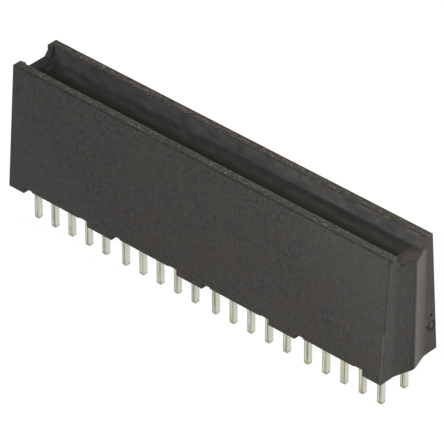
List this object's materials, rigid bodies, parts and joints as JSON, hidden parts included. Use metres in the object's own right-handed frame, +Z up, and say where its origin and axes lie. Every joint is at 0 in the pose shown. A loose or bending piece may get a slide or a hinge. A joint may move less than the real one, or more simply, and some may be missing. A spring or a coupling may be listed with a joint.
{
  "type": "card edge connector",
  "caption": "Upright board-mount card edge connector: tapered black moulded housing with an open-top card slot, a ridge on one end, low feet and two rows of tin-plated square tails.",
  "frame": {"origin": "centre of the contact field on the board's surface, which the feet stand on", "axes": "+X along the connector towards its ridged end, +Y across it, +Z up out of the card slot"},
  "size_m": [0.0525, 0.0088, 0.0193],
  "materials": {
    "housing_plastic": "matte moulded, scuffed on the rims",
    "tinned_contact": "bright tin plate on copper alloy"
  },
  "bodies": {
    "root": {"housing": "housing_plastic", "contact_front_01": "tinned_contact", "contact_front_02": "tinned_contact", "contact_front_03": "tinned_contact", "contact_front_04": "tinned_contact", "contact_front_05": "tinned_contact", "contact_front_06": "tinned_contact", "contact_front_07": "tinned_contact", "contact_front_08": "tinned_contact", "contact_front_09": "tinned_contact", "contact_front_10": "tinned_contact", "contact_front_11": "tinned_contact", "contact_front_12": "tinned_contact", "contact_front_13": "tinned_contact", "contact_front_14": "tinned_contact", "contact_front_15": "tinned_contact", "contact_front_16": "tinned_contact", "contact_front_17": "tinned_contact", "contact_front_18": "tinned_contact", "contact_front_19": "tinned_contact", "contact_front_20": "tinned_contact", "contact_rear_01": "tinned_contact", "contact_rear_02": "tinned_contact", "contact_rear_03": "tinned_contact", "contact_rear_04": "tinned_contact", "contact_rear_05": "tinned_contact", "contact_rear_06": "tinned_contact", "contact_rear_07": "tinned_contact", "contact_rear_08": "tinned_contact", "contact_rear_09": "tinned_contact", "contact_rear_10": "tinned_contact", "contact_rear_11": "tinned_contact", "contact_rear_12": "tinned_contact", "contact_rear_13": "tinned_contact", "contact_rear_14": "tinned_contact", "contact_rear_15": "tinned_contact", "contact_rear_16": "tinned_contact", "contact_rear_17": "tinned_contact", "contact_rear_18": "tinned_contact", "contact_rear_19": "tinned_contact", "contact_rear_20": "tinned_contact"}
  },
  "joints": []
}
